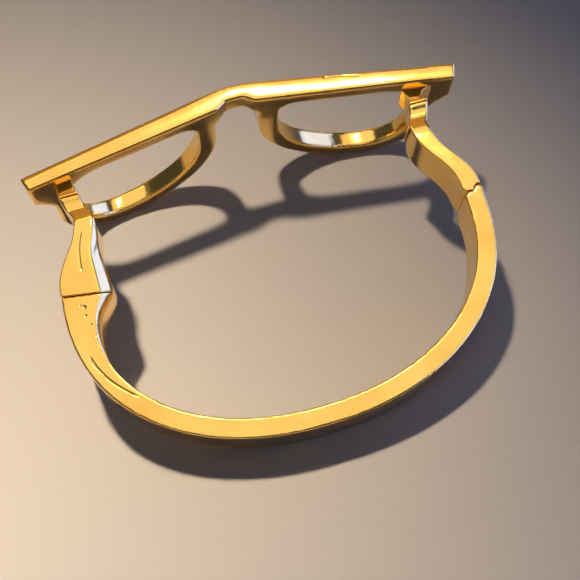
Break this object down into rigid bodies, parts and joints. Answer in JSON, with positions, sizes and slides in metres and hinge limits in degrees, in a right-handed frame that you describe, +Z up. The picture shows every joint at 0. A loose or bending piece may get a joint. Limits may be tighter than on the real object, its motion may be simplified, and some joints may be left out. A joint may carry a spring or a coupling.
{
  "type": "hinged bangle in the shape of spectacles",
  "caption": "Hinged gold-tone bangle shaped like a pair of spectacles, with open lens rims, short temples and a rear band that swings open at one temple.",
  "frame": {"origin": "on the table, under the middle of the bangle as it rests on both lens rims and the back of the band", "axes": "+Z up, +Y from the back of the band towards the spectacle front, +X towards the hinge side (the wearer's right when looked at from behind)"},
  "size_m": [0.07, 0.059, 0.0287],
  "materials": {
    "gold_plate": "cast brass, hand polished and gold plated",
    "pin_steel": "drawn stainless steel wire",
    "magnet_nickel": "nickel-plated sintered magnet"
  },
  "bodies": {
    "front": {"front_frame": "gold_plate", "left_hinge_block": "gold_plate", "right_hinge_block": "gold_plate", "clasp_temple": "gold_plate", "hinge_temple": "gold_plate", "temple_knuckles": "gold_plate", "hinge_pin": "pin_steel", "temple_magnet": "magnet_nickel", "locating_peg": "pin_steel"},
    "band": {"rear_band": "gold_plate", "band_knuckle": "gold_plate", "band_magnet": "magnet_nickel"}
  },
  "joints": [
    {"name": "band_hinge", "type": "hinge", "parent": "front", "child": "band", "pos_m": [0.03195, -0.00117, 0.01461], "axis": [0, -0.3494, 0.937], "range_deg": [0, 75]}
  ]
}
